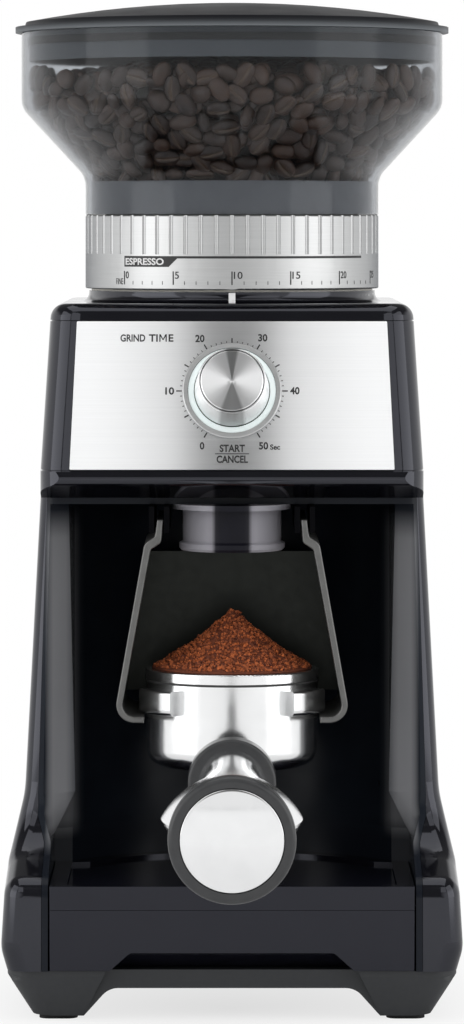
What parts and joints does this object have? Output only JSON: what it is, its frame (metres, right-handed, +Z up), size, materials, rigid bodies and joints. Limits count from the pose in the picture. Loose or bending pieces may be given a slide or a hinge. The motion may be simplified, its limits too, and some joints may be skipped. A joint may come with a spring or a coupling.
{
  "type": "burr coffee grinder",
  "caption": "Upright conical-burr coffee grinder with a clear bean hopper, numbered grind collar, timed dosing dial and a portafilter held in a hands-free cradle over a pull-out tray.",
  "frame": {"origin": "standing surface under the middle of the bounding box", "axes": "+Z up, the front panel and the portafilter handle face -Y, +X to the right of someone seen from behind the machine"},
  "size_m": [0.1745, 0.356, 0.388],
  "materials": {
    "black_gloss": "gloss",
    "base_grey": "matte",
    "foot_rubber": "matte",
    "brushed_panel": "brushed",
    "satin_collar": "satin",
    "smoke_clear": "clear",
    "lid_black": "gloss",
    "insert_grey": "satin",
    "polished_steel": "polished",
    "burr_steel": "ground",
    "gear_nylon": "satin",
    "pressed_steel": "satin",
    "motor_steel": "satin",
    "circuit_green": "satin",
    "halo_white": "translucent",
    "mark_white": "matte",
    "inner_black": "matte",
    "cradle_grey": "satin",
    "grip_black": "satin",
    "seal_rubber": "matte",
    "bronze": "satin"
  },
  "bodies": {
    "frame": {"base_plate": "base_grey", "rubber_feet": "foot_rubber", "base_screws": "pressed_steel", "body_housing": "black_gloss", "alcove_liner": "black_gloss", "chassis_plate": "pressed_steel", "rear_cover": "inner_black", "cover_screws": "pressed_steel", "cord_gland": "seal_rubber", "head_housing": "black_gloss", "front_panel": "brushed_panel", "collar_glide": "gear_nylon", "collar_pointer": "mark_white", "dial_bezel": "polished_steel", "light_ring": "halo_white", "dial_encoder": "inner_black", "control_board": "circuit_green", "power_board": "circuit_green", "grinding_chamber": "inner_black", "chamber_seal": "seal_rubber", "grind_chute": "inner_black", "grind_outlet": "black_gloss", "cradle_rails": "inner_black", "gearbox_housing": "inner_black", "gearbox_cover": "inner_black", "idler_pin": "burr_steel", "shaft_bearings": "bronze", "motor": "motor_steel"},
    "collar": {"grind_collar": "satin_collar"},
    "carrier": {"burr_carrier": "inner_black", "upper_burr": "burr_steel"},
    "hopper": {"bean_hopper": "smoke_clear", "hopper_base": "insert_grey"},
    "lid": {"hopper_lid": "lid_black", "lid_seal": "seal_rubber"},
    "burr": {"lower_burr": "burr_steel", "burr_nut": "pressed_steel", "impeller": "gear_nylon", "burr_shaft": "burr_steel", "output_gear": "gear_nylon"},
    "idler": {"idler_gear": "gear_nylon"},
    "rotor": {"motor_pinion": "burr_steel"},
    "dial": {"time_dial": "polished_steel"},
    "button": {"start_button": "brushed_panel"},
    "tray": {"grinds_tray": "black_gloss"},
    "tray_lid": {"tray_cover": "black_gloss"},
    "cradle": {"portafilter_cradle": "cradle_grey"},
    "portafilter": {"portafilter_body": "polished_steel", "filter_basket": "polished_steel", "basket_spring": "pressed_steel", "portafilter_spout": "polished_steel", "handle_collar": "grip_black", "handle_cover": "polished_steel", "handle_grip": "grip_black", "handle_cap": "polished_steel"}
  },
  "joints": [
    {"name": "collar_turn", "type": "hinge", "parent": "frame", "child": "collar", "pos_m": [0, 0.072, 0.289], "axis": [0, 0, -1], "range_deg": [-46, 230]},
    {"name": "burr_feed", "type": "slide", "parent": "collar", "child": "carrier", "axis": [0, 0, 1], "range_m": [-0.00045, 0.0021]},
    {"name": "hopper_twist", "type": "hinge", "parent": "collar", "child": "hopper", "pos_m": [0, 0.072, 0.31], "axis": [0, 0, 1], "range_deg": [0, 45]},
    {"name": "lid_lift", "type": "slide", "parent": "hopper", "child": "lid", "axis": [0, 0, 1], "range_m": [0, 0.04]},
    {"name": "burr_spin", "type": "hinge", "parent": "frame", "child": "burr", "pos_m": [0, 0.072, 0.23], "axis": [0, 0, 1], "continuous": true},
    {"name": "idler_spin", "type": "hinge", "parent": "frame", "child": "idler", "pos_m": [0.01286, 0.09574, 0.215], "axis": [0, 0, 1], "continuous": true},
    {"name": "motor_spin", "type": "hinge", "parent": "frame", "child": "rotor", "pos_m": [0, 0.116, 0.21], "axis": [0, 0, 1], "continuous": true},
    {"name": "dial_turn", "type": "hinge", "parent": "frame", "child": "dial", "pos_m": [0, -0.0069, 0.2368], "axis": [0, 0.9511, -0.309], "range_deg": [-150, 150]},
    {"name": "button_press", "type": "slide", "parent": "dial", "child": "button", "axis": [0, 0.9511, -0.309], "range_m": [0, 0.0015], "stiffness_N_per_m": 900},
    {"name": "tray_slide", "type": "slide", "parent": "frame", "child": "tray", "axis": [0, -1, 0], "range_m": [0, 0.11]},
    {"name": "tray_cover_lift", "type": "slide", "parent": "tray", "child": "tray_lid", "axis": [0, 0, 1], "range_m": [0, 0.01]},
    {"name": "cradle_slide", "type": "slide", "parent": "frame", "child": "cradle", "axis": [0, -1, 0], "range_m": [0, 0.06]},
    {"name": "portafilter_slide", "type": "slide", "parent": "cradle", "child": "portafilter", "axis": [0, -1, 0], "range_m": [0, 0.09]}
  ],
  "couplings": [
    {"joint": "burr_feed", "follows": "collar_turn", "m_per_rad": 0.000481},
    {"joint": "idler_spin", "follows": "burr_spin", "ratio": -2.8571},
    {"joint": "motor_spin", "follows": "burr_spin", "ratio": 8.5714}
  ]
}
